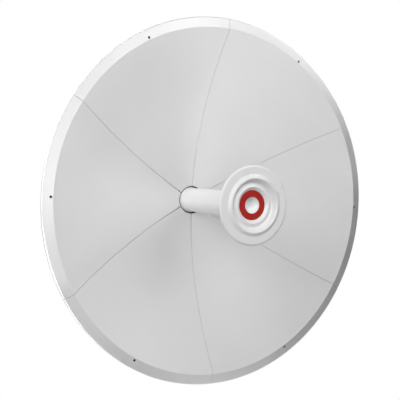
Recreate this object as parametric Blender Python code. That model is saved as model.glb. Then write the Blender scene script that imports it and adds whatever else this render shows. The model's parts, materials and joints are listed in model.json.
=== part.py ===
"""Point-to-point microwave dish antenna: a six-petal reflector with a rear-fed splash-plate
feed, its hub, its two-port transducer and the tilting bracket that clamps it to a mast.

Metres, +Z up. The dish looks along -Y. The origin is on the flat rear face of the mast
bracket, at the height of the dish's axis, where the mast bears on it.
"""

import math

import bmesh
import bpy
from mathutils import Vector

X, Y, Z = Vector((1, 0, 0)), Vector((0, 1, 0)), Vector((0, 0, 1))

# Reflector
RIM_R = 0.325
CREST_R = 0.3068
CREST_RISE = 0.003
FOCAL = 0.212
SKIN = 0.002
SEAM_GAP = 0.0006
HEM_DEPTH = 0.0045
HEM_ROUND = 0.001
INNER_STEPS = 2
OUTER_STEPS = 7
PETALS = 6
PETAL_ANGLE = math.tau / PETALS
PETAL_STEPS = 12
EDGE_COLUMNS = 2
FLANGE_IN_R = 0.097
FLANGE_OUT_R = RIM_R - 0.004
FLANGE_DEPTH = 0.013
FLANGE_TIP_DEPTH = 0.003
HUB_HOLE_R = 0.0264
RIM_HOLE_PITCH_R = 0.311
RIM_HOLE_R = 0.00225

# Stations along the dish's axis
SEAT = 0.0003
VERTEX_Y = -0.208
HUB_BACK_Y = VERTEX_Y + 0.022

# Hub casting
HUB_R = 0.094
HUB_BOSS_R = 0.058
HUB_WEB = 0.006
HUB_LIP_R = 0.086
HUB_LIP = 0.011
HUB_RIB = 0.005
HUB_RIB_SINK = 0.001

# Feed
TUBE_R = 0.0225
TUBE_BORE_R = 0.0200
TUBE_END_D = 0.152
COLLAR_R = 0.0247
COLLAR_SINK = 0.001
GASKET_R = 0.0320
GASKET = 0.003
SPIGOT_LENGTH = 0.018
PLATE_D = 0.208
PLATE_R = 0.067
PLATE_FLAT = 0.0065
PLATE_BACK = -0.013
EDGE_ROUND = 0.0045
EDGE_HEIGHT = 0.0035
CONE_R = 0.044
RING_OUT_R = 0.0252
RING_IN_R = 0.0138
RING_SINK = 0.0012
CUP_DEPTH = 0.009

# Transducer behind the hub
NECK_R = 0.0285
NECK_LENGTH = 0.018
BOX_SIDE = 0.064
BOX_DEPTH = 0.062
BOX_ROUND = 0.006
PORT_X = 0.016
PORT_Z = 0.008
PORT_R = 0.0080
PORT_LENGTH = 0.019
PORT_WALL = 0.0015
PORT_SOCKET = 0.009
PORT_FLANGE_R = 0.0125
PORT_FLANGE = 0.003
PIN_R = 0.0015
PIN_TIP_R = 0.0010
PIN_SINK = 0.002

# Tilting bracket
YOKE_SHEET = 0.003
YOKE_HALF = 0.053
YOKE_HALF_HEIGHT = 0.056
YOKE_END_HALF_HEIGHT = 0.050
YOKE_END_Y = -0.030
YOKE_END_CORNER = 0.016
YOKE_TAPER_Y = -0.110
YOKE_BOLT = 0.034
BEND_R = 0.005
MAST_SHEET = 0.004
MAST_HALF = YOKE_HALF + SEAT + MAST_SHEET
MAST_HALF_HEIGHT = 0.070
MAST_CHEEK_HALF_HEIGHT = 0.054
MAST_CHEEK_Y = -0.076
MAST_CORNER = 0.014
MAST_SHOULDER_Y = -0.014
PIVOT_Y = -0.050
PIVOT_Z = 0.036
LOCK_Z = -0.036
TILT_LIMIT = math.radians(10)
BOLT_R = 0.004
BOLT_HOLE_R = 0.0043
BOLT_HEAD = 0.0055
BOLT_TIP = 0.004

# Mast clamps
U_ROD_R = 0.004
U_HALF_WIDTH = 0.030
MAST_R = 0.025
U_LEG_END_Y = -0.024
U_Z = 0.046
U_HOLE_R = 0.0045
NUT_R = 0.0075
NUT = 0.0065
WASHER_R = 0.009
WASHER = 0.0016

# Tool sizes: steps round a turned piece, how far cutters reach past the work, and how far solids
# run into each other where they are joined
ROUND = 36
SMALL_ROUND = 32
REACH = 0.1
DRILL = 0.015
TRIM = 0.001
OVERLAP = 0.002
BITE = 0.0002


def clear_scene():
    for obj in list(bpy.data.objects):
        bpy.data.objects.remove(obj, do_unlink=True)


def material(name, colour, roughness, metallic=0.0):
    made = bpy.data.materials.new(name)
    made.use_nodes = True
    shader = made.node_tree.nodes["Principled BSDF"]
    shader.inputs["Base Color"].default_value = (*colour, 1.0)
    shader.inputs["Roughness"].default_value = roughness
    shader.inputs["Metallic"].default_value = metallic
    return made


def object_from(name, mesh_builder, finish):
    """An object made of a bmesh, with its doubles merged and its faces turned outwards."""
    bmesh.ops.remove_doubles(mesh_builder, verts=mesh_builder.verts, dist=1e-6)
    bmesh.ops.recalc_face_normals(mesh_builder, faces=mesh_builder.faces)
    mesh = bpy.data.meshes.new(name)
    mesh_builder.to_mesh(mesh)
    mesh_builder.free()
    mesh.shade_smooth()
    mesh.set_sharp_from_angle(angle=math.radians(28))
    mesh.materials.append(finish)
    made = bpy.data.objects.new(name, mesh)
    bpy.context.scene.collection.objects.link(made)
    return made


def helper_from(name, mesh_builder):
    """A cutter, or a solid that a Boolean joins to another: it isn't a piece of its own."""
    made = object_from(name, mesh_builder, HELPER)
    made.hide_render = True
    made.display_type = "WIRE"
    return made


def boolean(obj, tool, operation):
    modifier = obj.modifiers.new(tool.name, "BOOLEAN")
    modifier.operation = operation
    modifier.solver = "EXACT"
    modifier.object = tool


# Shapes

def add_turned(builder, profile, steps=ROUND):
    """A profile of (radius, y) points turned round the dish's axis. Ends off the axis are joined."""
    verts = [builder.verts.new((0.0, y, radius)) for radius, y in profile]
    pairs = list(zip(verts, verts[1:]))
    if profile[0][0] > 0 or profile[-1][0] > 0:
        pairs.append((verts[-1], verts[0]))
    edges = [builder.edges.new(pair) for pair in pairs]
    bmesh.ops.spin(
        builder,
        geom=verts + edges,
        cent=(0, 0, 0),
        axis=(0, 1, 0),
        angle=math.tau,
        steps=steps,
        use_merge=True,
    )


def turned(name, profile, finish, steps=ROUND):
    builder = bmesh.new()
    add_turned(builder, profile, steps)
    return object_from(name, builder, finish)


def add_prism(builder, outline, depth):
    """An outline of points, pushed along the vector depth."""
    face = builder.faces.new([builder.verts.new(point) for point in outline])
    pushed = bmesh.ops.extrude_face_region(builder, geom=[face])["geom"]
    moved = [item for item in pushed if isinstance(item, bmesh.types.BMVert)]
    bmesh.ops.translate(builder, verts=moved, vec=depth)


def disc_outline(centre, radius, sides, along, up):
    """Points of a circle about centre, in the plane of the vectors along and up."""
    angles = [math.tau * step / sides for step in range(sides)]
    return [
        centre + radius * (math.cos(angle) * along + math.sin(angle) * up)
        for angle in angles
    ]


def add_rod(builder, centre, axis, radius, length, sides=16):
    """A cylinder, or a hexagon with 6 sides, that starts at centre and runs along axis."""
    along = Z if axis != Z else X
    up = axis.cross(along)
    add_prism(builder, disc_outline(centre, radius, sides, along, up), axis * length)


def add_drill(builder, centre, axis, radius, reach, sides=12):
    """A rod through centre that reaches this far both ways, to cut a hole with."""
    add_rod(builder, centre - axis * reach, axis, radius, 2 * reach, sides)


def evenly(first, last, steps):
    return [first + (last - first) * step / steps for step in range(steps + 1)]


def bowl_y(radius):
    """Height of the reflector's front surface: a paraboloid about the dish's axis."""
    return VERTEX_Y - radius**2 / (4 * FOCAL)


def bowl_back(radius, distance):
    """The point this far behind the front surface, square to it, as (radius, y)."""
    slope = radius / (2 * FOCAL)
    scale = distance / math.hypot(slope, 1)
    return radius + slope * scale, bowl_y(radius) + scale


def mitred(profile, distance):
    """The profile pushed back by distance, with its corners mitred."""
    moved = []
    for index, (radius, y) in enumerate(profile):
        normals = []
        for start, end in ((index - 1, index), (index, index + 1)):
            if start >= 0 and end < len(profile):
                along_r = profile[end][0] - profile[start][0]
                along_y = profile[end][1] - profile[start][1]
                length = math.hypot(along_r, along_y)
                normals.append((-along_y / length, along_r / length))
        sum_r = sum(normal[0] for normal in normals)
        sum_y = sum(normal[1] for normal in normals)
        size = math.hypot(sum_r, sum_y)
        spread = size / len(normals)
        moved.append(
            (
                radius + distance * sum_r / size / spread,
                y + distance * sum_y / size / spread,
            )
        )
    return moved


# Reflector

def petal_profile():
    """The front of a petal from the hub hole to the edge of the hem, as (radius, y)."""
    radii = evenly(HUB_HOLE_R, FLANGE_IN_R, INNER_STEPS)[:-1]
    radii += evenly(FLANGE_IN_R, CREST_R, OUTER_STEPS)
    edge_y = bowl_y(CREST_R) + CREST_RISE
    edge_r = RIM_R - HEM_ROUND
    flange_share = (FLANGE_OUT_R - CREST_R) / (edge_r - CREST_R)
    return [(radius, bowl_y(radius)) for radius in radii] + [
        (FLANGE_OUT_R, bowl_y(CREST_R) + CREST_RISE * flange_share),
        (edge_r, edge_y),
        (RIM_R, edge_y + HEM_ROUND),
        (RIM_R, edge_y + HEM_DEPTH),
    ]


def petal_point(first_angle, column, radius, y):
    """A point of a petal. The edge columns stay the same distance from the seam all the way out,
    for the seam's gap and the flange's thickness; those between are evenly spread."""
    from_end = PETAL_STEPS + 2 - column
    aside = 0.0
    angle = first_angle + PETAL_ANGLE * (column - 1) / PETAL_STEPS
    if column < EDGE_COLUMNS:
        angle = first_angle
        aside = SEAM_GAP / 2 + SKIN * column
    elif from_end < EDGE_COLUMNS:
        angle = first_angle + PETAL_ANGLE
        aside = -SEAM_GAP / 2 - SKIN * from_end
    along = Vector((math.sin(angle), 0, math.cos(angle)))
    across = Vector((math.cos(angle), 0, -math.sin(angle)))
    return math.sqrt(radius**2 - aside**2) * along + aside * across + y * Y


def petal(number, finish):
    first_angle = PETAL_ANGLE * (number - 1)
    front = petal_profile()
    back = mitred(front, SKIN)
    columns = PETAL_STEPS + 3
    builder = bmesh.new()
    faces = {}
    for side, profile in (("front", front), ("back", back)):
        grid = [
            [
                builder.verts.new(petal_point(first_angle, column, radius, y))
                for column in range(columns)
            ]
            for radius, y in profile
        ]
        for row in range(len(profile) - 1):
            for column in range(columns - 1):
                corners = (
                    grid[row][column],
                    grid[row][column + 1],
                    grid[row + 1][column + 1],
                    grid[row + 1][column],
                )
                faces[side, row, column] = builder.faces.new(corners)
    rims = [edge for edge in builder.edges if edge.is_boundary]
    bmesh.ops.bridge_loops(builder, edges=rims)
    flange_rows = range(INNER_STEPS, INNER_STEPS + OUTER_STEPS + 1)
    for column in (0, columns - 2):
        strip = [faces["back", row, column] for row in flange_rows]
        pushed = bmesh.ops.extrude_face_region(builder, geom=strip)["geom"]
        for item in pushed:
            if isinstance(item, bmesh.types.BMVert):
                on_band = math.hypot(item.co.x, item.co.z) > (CREST_R + FLANGE_OUT_R) / 2
                item.co.y += FLANGE_TIP_DEPTH if on_band else FLANGE_DEPTH
        bmesh.ops.delete(builder, geom=strip, context="FACES")
    made = object_from(f"petal_{number}", builder, finish)

    middle = first_angle + PETAL_ANGLE / 2
    outward = Vector((math.sin(middle), 0, math.cos(middle)))
    cutter = bmesh.new()
    centre = RIM_HOLE_PITCH_R * outward + bowl_y(CREST_R) * Y
    add_drill(cutter, centre, Y, RIM_HOLE_R, DRILL)
    boolean(made, helper_from(f"rim_hole_cutter_{number}", cutter), "DIFFERENCE")


# Hub

def hub_casting(finish):
    """A dished disc that follows the back of the petals, with a boss, a lip and six ribs."""
    seat_steps = 5
    radii = evenly(GASKET_R + SEAT, HUB_R, seat_steps)
    front = [bowl_back(radius, SKIN + SEAT) for radius in radii]
    gasket_seat_y = bowl_back(HUB_HOLE_R, SKIN + SEAT)[1] + GASKET + SEAT
    edge_r, edge_y = front[-1]
    web_out = bowl_back(HUB_LIP_R, SKIN + SEAT + HUB_WEB)
    web_in = bowl_back(HUB_BOSS_R, SKIN + SEAT + HUB_WEB)
    profile = [
        (TUBE_R + SEAT, HUB_BACK_Y),
        (TUBE_R + SEAT, gasket_seat_y),
        (front[0][0], gasket_seat_y),
        *front,
        (edge_r, edge_y + HUB_LIP),
        (HUB_LIP_R, edge_y + HUB_LIP),
        (HUB_LIP_R, web_out[1]),
        (HUB_BOSS_R, web_in[1]),
        (HUB_BOSS_R, HUB_BACK_Y),
    ]
    made = turned("hub_casting", profile, finish)

    ribs = bmesh.new()
    for number in range(PETALS):
        angle = PETAL_ANGLE * (number + 0.5)
        outward = Vector((math.sin(angle), 0, math.cos(angle)))
        aside = Vector((math.cos(angle), 0, -math.sin(angle)))
        inner_r, outer_r = HUB_BOSS_R - OVERLAP, HUB_LIP_R + OVERLAP
        corners = [
            (inner_r, web_in[1] - OVERLAP),
            (outer_r, web_out[1] - OVERLAP),
            (outer_r, edge_y + HUB_LIP - HUB_RIB_SINK),
            (inner_r, HUB_BACK_Y - HUB_RIB_SINK),
        ]
        outline = [
            radius * outward + y * Y - HUB_RIB / 2 * aside for radius, y in corners
        ]
        add_prism(ribs, outline, HUB_RIB * aside)
    boolean(made, helper_from("hub_rib_tool", ribs), "UNION")


# Feed

def eased(start, end, steps):
    """Points from start to end on a half wave, level at both ends; start is left out."""
    points = []
    for step in range(1, steps + 1):
        share = step / steps
        height = (1 - math.cos(math.pi * share)) / 2
        points.append(
            (
                start[0] + (end[0] - start[0]) * share,
                start[1] + (end[1] - start[1]) * height,
            )
        )
    return points


def plate_profile():
    """The splash plate from the cup's middle to its back, as (radius, height over the ring)."""
    inner_crest = (0.0303, 0.0040)
    valley = (0.0370, 0.0012)
    outer_crest = (0.0450, 0.0100)
    flat_in = (0.0525, PLATE_FLAT)
    edge_back = (PLATE_R - 0.002, 0.0005)
    back_step = (0.0520, -0.0015)
    back_edge = (CONE_R + 0.001, PLATE_BACK)
    cup_angles = evenly(0, math.pi / 2, 3)
    points = [
        (RING_IN_R * math.sin(angle), -CUP_DEPTH * math.cos(angle)) for angle in cup_angles
    ]
    points += [(RING_IN_R, -RING_SINK), (RING_OUT_R, -RING_SINK), (RING_OUT_R, 0.0)]
    points += eased((RING_OUT_R, 0.0), inner_crest, 2)
    points += eased(inner_crest, valley, 3)
    points += eased(valley, outer_crest, 4)
    points += eased(outer_crest, flat_in, 3)
    for angle in evenly(math.pi / 2, 0, 3):
        radius = PLATE_R - EDGE_ROUND + EDGE_ROUND * math.cos(angle)
        points.append((radius, EDGE_HEIGHT + (PLATE_FLAT - EDGE_HEIGHT) * math.sin(angle)))
    return points + [edge_back, back_step, back_edge, (0.0, PLATE_BACK)]


def on_feed(points):
    """Points of (radius, height over the ring's plane) as (radius, y)."""
    return [(radius, VERTEX_Y - PLATE_D - height) for radius, height in points]


def ring_profile(inner_r, outer_r, front_y, back_y):
    return [(inner_r, front_y), (outer_r, front_y), (outer_r, back_y), (inner_r, back_y)]


def feed(plastic, cone_plastic, rubber, red):
    turned("splash_plate", on_feed(plate_profile()), plastic)
    ring = ring_profile(RING_IN_R + SEAT, RING_OUT_R - SEAT, SEAT, SEAT - RING_SINK)
    turned("red_ring", on_feed(ring), red)

    tube_end_y = VERTEX_Y - TUBE_END_D
    cone_front_y = VERTEX_Y - PLATE_D - PLATE_BACK + SEAT
    cone_back_y = tube_end_y - SEAT
    spigot_r = TUBE_BORE_R - SEAT
    flare = []
    for angle in evenly(0, math.pi / 2, 4):
        radius = TUBE_R + (CONE_R - TUBE_R) * (1 - math.cos(angle))
        flare.append((radius, cone_back_y + (cone_front_y - cone_back_y) * math.sin(angle)))
    cone = [
        (0.0, tube_end_y + SPIGOT_LENGTH),
        (spigot_r, tube_end_y + SPIGOT_LENGTH),
        (spigot_r, cone_back_y),
        *flare,
        (0.0, cone_front_y),
    ]
    turned("feed_cone", cone, cone_plastic, SMALL_ROUND)

    tube = ring_profile(TUBE_BORE_R, TUBE_R, tube_end_y, HUB_BACK_Y)
    turned("feed_tube", tube, plastic, SMALL_ROUND)

    gasket_front_y = bowl_back(HUB_HOLE_R, SKIN + SEAT)[1]
    gasket_back_y = gasket_front_y + GASKET
    gasket = ring_profile(COLLAR_R + SEAT, GASKET_R, gasket_front_y, gasket_back_y)
    turned("tube_gasket", gasket, rubber, SMALL_ROUND)
    collar_front_y = bowl_y(COLLAR_R) + COLLAR_SINK
    collar = ring_profile(TUBE_R + SEAT, COLLAR_R, collar_front_y, gasket_back_y)
    turned("feed_collar", collar, plastic, SMALL_ROUND)


# Transducer

def transducer(casting, brass):
    """The cast neck and box that split the two polarities, with a coaxial port for each."""
    neck_y = HUB_BACK_Y + SEAT
    box_y = neck_y + NECK_LENGTH
    neck = [(0.0, neck_y), (NECK_R, neck_y), (NECK_R, box_y), (0.0, box_y)]
    turned("transducer_neck", neck, casting, SMALL_ROUND)

    flat_half = BOX_SIDE / 2 - BOX_ROUND
    outline = []
    for quadrant, (sign_x, sign_z) in enumerate(((1, 1), (-1, 1), (-1, -1), (1, -1))):
        for turn in evenly(quadrant, quadrant + 1, 3):
            angle = math.pi / 2 * turn
            x = sign_x * flat_half + BOX_ROUND * math.cos(angle)
            z = sign_z * flat_half + BOX_ROUND * math.sin(angle)
            outline.append(Vector((x, box_y + SEAT, z)))
    builder = bmesh.new()
    add_prism(builder, outline, BOX_DEPTH * Y)
    object_from("transducer_box", builder, casting)

    port_y = box_y + SEAT + BOX_DEPTH + SEAT
    socket_y, pin_y = PORT_LENGTH - PORT_SOCKET, PORT_LENGTH - PIN_SINK
    profile = [
        (0.0, 0.0),
        (PORT_FLANGE_R, 0.0),
        (PORT_FLANGE_R, PORT_FLANGE),
        (PORT_R, PORT_FLANGE),
        (PORT_R, PORT_LENGTH),
        (PORT_R - PORT_WALL, PORT_LENGTH),
        (PORT_R - PORT_WALL, socket_y),
        (PIN_R, socket_y),
        (PIN_TIP_R, pin_y),
        (0.0, pin_y),
    ]
    for name, x in (("port_vertical", PORT_X), ("port_horizontal", -PORT_X)):
        port = turned(name, profile, brass, 20)
        port.location = (x, port_y, PORT_Z)


# Bracket

def channel_outline(half, sheet, web_y, open_y):
    """A U of bent sheet in the XY plane: a web at web_y, outside, and cheeks that end at open_y."""
    way = 1 if open_y > web_y else -1
    bend_steps = 3
    outer, inner = [], []
    for step in range(bend_steps + 1):
        angle = math.pi / 2 * step / bend_steps
        away_x, away_y = math.sin(angle), -math.cos(angle) * way
        centre_x = half - BEND_R
        centre_y = web_y + BEND_R * way
        outer.append((centre_x + BEND_R * away_x, centre_y + BEND_R * away_y))
        short = BEND_R - sheet
        inner.append((centre_x + short * away_x, centre_y + short * away_y))
    right = [*outer, (half, open_y), (half - sheet, open_y), *reversed(inner)]
    left = [(-x, y) for x, y in reversed(right)]
    return right + left


def channel(name, outline, half_height, side_outline, finish):
    """The U pushed up to its full height, then trimmed to the outline of its sides."""
    builder = bmesh.new()
    add_prism(builder, [Vector((x, y, -half_height)) for x, y in outline], 2 * half_height * Z)
    made = object_from(name, builder, finish)
    trim = bmesh.new()
    add_prism(trim, [Vector((-REACH, y, z)) for y, z in side_outline], 2 * REACH * X)
    boolean(made, helper_from(f"{name}_trim", trim), "INTERSECT")
    return made


def add_slot(builder, radius, limit, half_width):
    """An arc slot under the pivot, right through both cheeks, with round ends."""
    points = []
    for way in (1, -1):
        angles = evenly(-limit * way, limit * way, 4)
        points += [(angle, radius + half_width * way) for angle in angles]
        for turn in evenly(math.pi / 2, -math.pi / 2, 4)[1:-1]:
            angle = limit + half_width * math.cos(turn) / radius
            points.append((angle * way, radius + half_width * way * math.sin(turn)))
    outline = []
    for angle, distance in points:
        y = PIVOT_Y + distance * math.sin(angle)
        z = PIVOT_Z - distance * math.cos(angle)
        outline.append(Vector((-REACH, y, z)))
    add_prism(builder, outline, 2 * REACH * X)


def yoke(finish):
    """The bracket bolted to the hub: two cheeks that swing on the pivot bolts."""
    web_y = HUB_BACK_Y + SEAT
    outline = channel_outline(YOKE_HALF, YOKE_SHEET, web_y, YOKE_END_Y + TRIM)
    end, corner = YOKE_END_HALF_HEIGHT, YOKE_END_CORNER
    side = [
        (web_y - TRIM, -YOKE_HALF_HEIGHT),
        (YOKE_TAPER_Y, -YOKE_HALF_HEIGHT),
        (YOKE_END_Y - corner, -end),
        (YOKE_END_Y, -end + corner),
        (YOKE_END_Y, end - corner),
        (YOKE_END_Y - corner, end),
        (YOKE_TAPER_Y, YOKE_HALF_HEIGHT),
        (web_y - TRIM, YOKE_HALF_HEIGHT),
    ]
    made = channel("yoke", outline, YOKE_HALF_HEIGHT + TRIM, side, finish)

    holes = bmesh.new()
    add_drill(holes, Vector((0, web_y, 0)), Y, NECK_R + SEAT, DRILL, sides=SMALL_ROUND)
    for x in (-YOKE_BOLT, YOKE_BOLT):
        for z in (-YOKE_BOLT, YOKE_BOLT):
            add_drill(holes, Vector((x, web_y, z)), Y, BOLT_HOLE_R, DRILL)
    for z in (PIVOT_Z, LOCK_Z):
        add_drill(holes, Vector((0, PIVOT_Y, z)), X, BOLT_HOLE_R, REACH)
    boolean(made, helper_from("yoke_hole_cutter", holes), "DIFFERENCE")


def mast_bracket(finish):
    """The bracket that stays on the mast: a flat web for the mast and two outer cheeks."""
    outline = channel_outline(MAST_HALF, MAST_SHEET, 0.0, MAST_CHEEK_Y - TRIM)
    low, corner, shoulder_y = MAST_CHEEK_HALF_HEIGHT, MAST_CORNER, MAST_SHOULDER_Y
    side = [
        (TRIM, -MAST_HALF_HEIGHT),
        (shoulder_y, -MAST_HALF_HEIGHT),
        (shoulder_y - corner, -low),
        (MAST_CHEEK_Y + corner, -low),
        (MAST_CHEEK_Y, -low + corner),
        (MAST_CHEEK_Y, low - corner),
        (MAST_CHEEK_Y + corner, low),
        (shoulder_y - corner, low),
        (shoulder_y, MAST_HALF_HEIGHT),
        (TRIM, MAST_HALF_HEIGHT),
    ]
    made = channel("mast_bracket", outline, MAST_HALF_HEIGHT + TRIM, side, finish)

    holes = bmesh.new()
    for x in (-U_HALF_WIDTH, U_HALF_WIDTH):
        for z in (-U_Z, U_Z):
            add_drill(holes, Vector((x, 0, z)), Y, U_HOLE_R, DRILL)
    add_drill(holes, Vector((0, PIVOT_Y, PIVOT_Z)), X, BOLT_HOLE_R, REACH)
    add_slot(holes, PIVOT_Z - LOCK_Z, TILT_LIMIT, BOLT_HOLE_R)
    boolean(made, helper_from("mast_hole_cutter", holes), "DIFFERENCE")


def joined_rods(name, rods, finish):
    """Overlapping rods of (centre, axis, radius, length, sides), joined into one body."""
    first, *others = rods
    builder = bmesh.new()
    add_rod(builder, *first)
    made = object_from(name, builder, finish)
    for number, rod in enumerate(others):
        tool = bmesh.new()
        add_rod(tool, *rod)
        boolean(made, helper_from(f"{name}_tool_{number}", tool), "UNION")


def cheek_bolt(name, side, z, finish):
    """A hex bolt through both cheeks of one side, with a washer under its head and its nut."""
    out = X * side
    outer = MAST_HALF + SEAT
    inner = YOKE_HALF - YOKE_SHEET - SEAT
    start = inner - WASHER - NUT - BOLT_TIP
    end = outer + WASHER + BOLT_HEAD / 2
    centre = Vector((0, PIVOT_Y, z))
    rods = [
        (centre + out * start, out, BOLT_R, end - start, 12),
        (centre + out * outer, out, WASHER_R, WASHER, 16),
        (centre + out * (outer + WASHER - BITE), out, NUT_R, BOLT_HEAD, 6),
        (centre + out * (inner - WASHER), out, WASHER_R, WASHER, 16),
        (centre + out * (inner - WASHER - NUT + BITE), out, NUT_R, NUT, 6),
    ]
    joined_rods(name, rods, finish)


def u_bolt(name, z, finish):
    """A round-bar U-bolt for the mast, with its two nuts and washers inside the bracket."""
    path = [Vector((U_HALF_WIDTH, U_LEG_END_Y, z))]
    for angle in evenly(0, math.pi, 8):
        x, y = U_HALF_WIDTH * math.cos(angle), MAST_R + U_HALF_WIDTH * math.sin(angle)
        path.append(Vector((x, y, z)))
    path.append(Vector((-U_HALF_WIDTH, U_LEG_END_Y, z)))
    curve = bpy.data.curves.new(f"{name}_bar", "CURVE")
    curve.dimensions = "3D"
    curve.bevel_depth = U_ROD_R
    curve.bevel_resolution = 2
    curve.use_fill_caps = True
    curve.resolution_u = 1
    spline = curve.splines.new("POLY")
    spline.points.add(len(path) - 1)
    for point, place in zip(spline.points, path):
        point.co = (*place, 1.0)
    bar = bpy.data.objects.new(f"{name}_bar", curve)
    bpy.context.scene.collection.objects.link(bar)
    mesh = bpy.data.meshes.new_from_object(
        bar.evaluated_get(bpy.context.evaluated_depsgraph_get())
    )
    bpy.data.objects.remove(bar)
    builder = bmesh.new()
    builder.from_mesh(mesh)
    bpy.data.meshes.remove(mesh)
    made = object_from(name, builder, finish)

    washer_y = -MAST_SHEET - SEAT
    nut_y = washer_y - WASHER + BITE
    washers, nuts = bmesh.new(), bmesh.new()
    for x in (-U_HALF_WIDTH, U_HALF_WIDTH):
        add_rod(washers, Vector((x, washer_y, z)), -Y, WASHER_R, WASHER)
        add_rod(nuts, Vector((x, nut_y, z)), -Y, NUT_R, NUT, sides=6)
    boolean(made, helper_from(f"{name}_washer_tool", washers), "UNION")
    boolean(made, helper_from(f"{name}_nut_tool", nuts), "UNION")


def yoke_bolt(number, x, z, finish):
    """A bolt that holds the yoke to the hub's boss: its head, its washer and its shank's end."""
    end_y = HUB_BACK_Y + SEAT
    washer_y = end_y + YOKE_SHEET + SEAT
    head_y = washer_y + WASHER - BITE
    rods = [
        (Vector((x, end_y, z)), Y, BOLT_R, head_y - end_y + BOLT_HEAD / 2, 12),
        (Vector((x, washer_y, z)), Y, WASHER_R, WASHER, 16),
        (Vector((x, head_y, z)), Y, NUT_R, BOLT_HEAD, 6),
    ]
    joined_rods(f"yoke_bolt_{number}", rods, finish)


def main():
    powder_coat = material("powder_coat", (0.80, 0.80, 0.80), 0.45)
    hub_cast = material("hub_cast", (0.62, 0.63, 0.64), 0.55, 0.3)
    feed_plastic = material("feed_plastic", (0.84, 0.84, 0.83), 0.4)
    cone_plastic = material("cone_plastic", (0.80, 0.79, 0.76), 0.45)
    red_plastic = material("red_plastic", (0.42, 0.025, 0.02), 0.4)
    rubber = material("rubber", (0.03, 0.03, 0.03), 0.8)
    galvanised = material("galvanised", (0.58, 0.60, 0.62), 0.45, 0.9)
    bolt_steel = material("bolt_steel", (0.60, 0.60, 0.60), 0.35, 1.0)
    connector = material("connector", (0.70, 0.66, 0.55), 0.3, 1.0)

    for number in range(1, PETALS + 1):
        petal(number, powder_coat)
    hub_casting(hub_cast)
    feed(feed_plastic, cone_plastic, rubber, red_plastic)
    transducer(hub_cast, connector)
    yoke(galvanised)
    mast_bracket(galvanised)
    for side_name, side in (("left", -1), ("right", 1)):
        cheek_bolt(f"pivot_bolt_{side_name}", side, PIVOT_Z, bolt_steel)
        cheek_bolt(f"lock_bolt_{side_name}", side, LOCK_Z, bolt_steel)
    u_bolt("u_bolt_upper", U_Z, bolt_steel)
    u_bolt("u_bolt_lower", -U_Z, bolt_steel)
    places = [(x, z) for z in (YOKE_BOLT, -YOKE_BOLT) for x in (-YOKE_BOLT, YOKE_BOLT)]
    for number, (x, z) in enumerate(places, start=1):
        yoke_bolt(number, x, z, bolt_steel)


clear_scene()
HELPER = material("helper", (0.5, 0.5, 0.5), 0.5)
main()
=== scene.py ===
"""The looks of the microwave dish antenna: its six petals, feed, hub, transducer and bracket,
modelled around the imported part, with their finishes, the studio and the camera."""

import json
import math

import bpy
from mathutils import Matrix, Vector

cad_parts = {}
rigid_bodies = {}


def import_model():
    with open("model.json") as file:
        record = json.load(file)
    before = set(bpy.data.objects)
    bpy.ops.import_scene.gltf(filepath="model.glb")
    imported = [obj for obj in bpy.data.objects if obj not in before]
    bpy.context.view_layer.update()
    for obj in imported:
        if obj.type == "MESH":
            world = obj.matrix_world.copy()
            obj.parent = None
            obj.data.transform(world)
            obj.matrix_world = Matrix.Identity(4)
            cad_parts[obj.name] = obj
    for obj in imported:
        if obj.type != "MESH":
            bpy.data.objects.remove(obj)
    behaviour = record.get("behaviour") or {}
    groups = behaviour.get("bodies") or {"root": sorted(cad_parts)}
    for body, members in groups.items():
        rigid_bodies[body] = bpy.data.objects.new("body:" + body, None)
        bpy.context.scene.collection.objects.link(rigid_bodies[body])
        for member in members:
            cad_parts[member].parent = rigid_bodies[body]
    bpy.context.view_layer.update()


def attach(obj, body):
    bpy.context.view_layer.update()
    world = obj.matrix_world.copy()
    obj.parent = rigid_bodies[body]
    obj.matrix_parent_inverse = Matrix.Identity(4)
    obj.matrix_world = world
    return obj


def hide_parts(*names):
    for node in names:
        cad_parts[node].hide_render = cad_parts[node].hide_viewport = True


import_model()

# All sizes are in metres, as in the part: _R is a radius, _Y and _Z are places, and _D is a
# distance in front of the bowl's deepest point.

# Reflector. SEAM_OPENING is how much wider a seam gets towards the hub, a metre.
RIM_R = 0.325
CREST_R = 0.3068
CREST_RISE = 0.003
CREST_ROUND = 0.0008
FOCAL = 0.212
VERTEX_Y = -0.208
SEAM_GAP = 0.0006
SEAM_OPENING = 0.012
HEM_DEPTH = 0.0045
HEM_ROUND = 0.001
PETALS = 6
PETAL_ANGLE = math.tau / PETALS
HUB_HOLE_R = 0.0264
FLANGE_IN_R = 0.097
FLANGE_OUT_R = RIM_R - 0.004
FLANGE_DEPTH = 0.015
FLANGE_TIP_LIFT = 0.010
SHEET = 0.0014
FOLD = 0.0004
RIM_HOLE_PITCH_R = 0.311
RIM_HOLE_R = 0.00225
DRILL = 0.01
SEAM_BOLT_RADII = (0.135, 0.205, 0.272)
SEAM_BOLT_DEPTH = 0.009

# Hub casting. SEAT is the gap between pieces that touch.
SEAT = 0.0003
SKIN = 0.002
HUB_BACK_Y = VERTEX_Y + 0.022
HUB_R = 0.094
HUB_BOSS_R = 0.058
HUB_WEB = 0.006
HUB_LIP_R = 0.086
HUB_LIP = 0.011
HUB_RIB = 0.005
HUB_RIB_ROUND = 0.0014
HUB_GROOVE = 0.003
HUB_GROOVE_DEPTH = 0.0035
HUB_GROOVE_END = 0.091
OVERLAP = 0.001
SCREW_SINK = 0.0001
HUB_SCREW_R = 0.073
HUB_SCREW_TURN = math.radians(15)

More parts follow.
